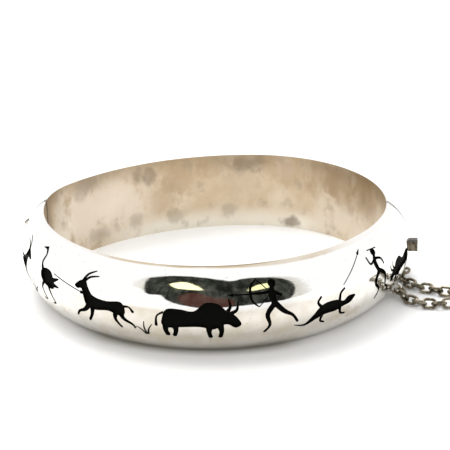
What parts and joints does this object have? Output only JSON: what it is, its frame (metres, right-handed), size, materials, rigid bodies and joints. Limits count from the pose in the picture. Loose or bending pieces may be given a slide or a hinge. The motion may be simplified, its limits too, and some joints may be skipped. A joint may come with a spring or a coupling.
{
  "type": "hinged bangle",
  "caption": "Hollow domed oval bangle in two hinged halves, with a sprung box clasp and a safety chain, lying on its rim.",
  "frame": {"origin": "midpoint between the hinge seam and the clasp seam on the inner wall, in the plane of the lower rim", "axes": "+X from the hinge to the clasp, +Z from the lower rim to the upper one, along which the hand passes through; the front half is on the -Y side"},
  "size_m": [0.096, 0.0613, 0.0146],
  "materials": {
    "silver": "polished silver with a warm tarnish inside, and a blackened frieze on the front half",
    "pin_silver": "polished silver wire",
    "clasp_silver": "tarnished silver strip",
    "chain_silver": "tarnished silver links"
  },
  "bodies": {
    "front": {"front_half": "silver", "hinge_pin": "pin_silver", "safety_chain": "chain_silver"},
    "back": {"back_half": "silver"},
    "spring": {"clasp_spring": "clasp_silver"}
  },
  "joints": [
    {"name": "hinge", "type": "hinge", "parent": "front", "child": "back", "pos_m": [-0.033, 0, 0.0073], "axis": [0, 0, 1], "range_deg": [0, 50]},
    {"name": "clasp_press", "type": "hinge", "parent": "back", "child": "spring", "pos_m": [0.0309, -0.0057, 0.0073], "axis": [0, 0, 1], "range_deg": [0, 6], "stiffness_Nm_per_rad": 0.1}
  ]
}
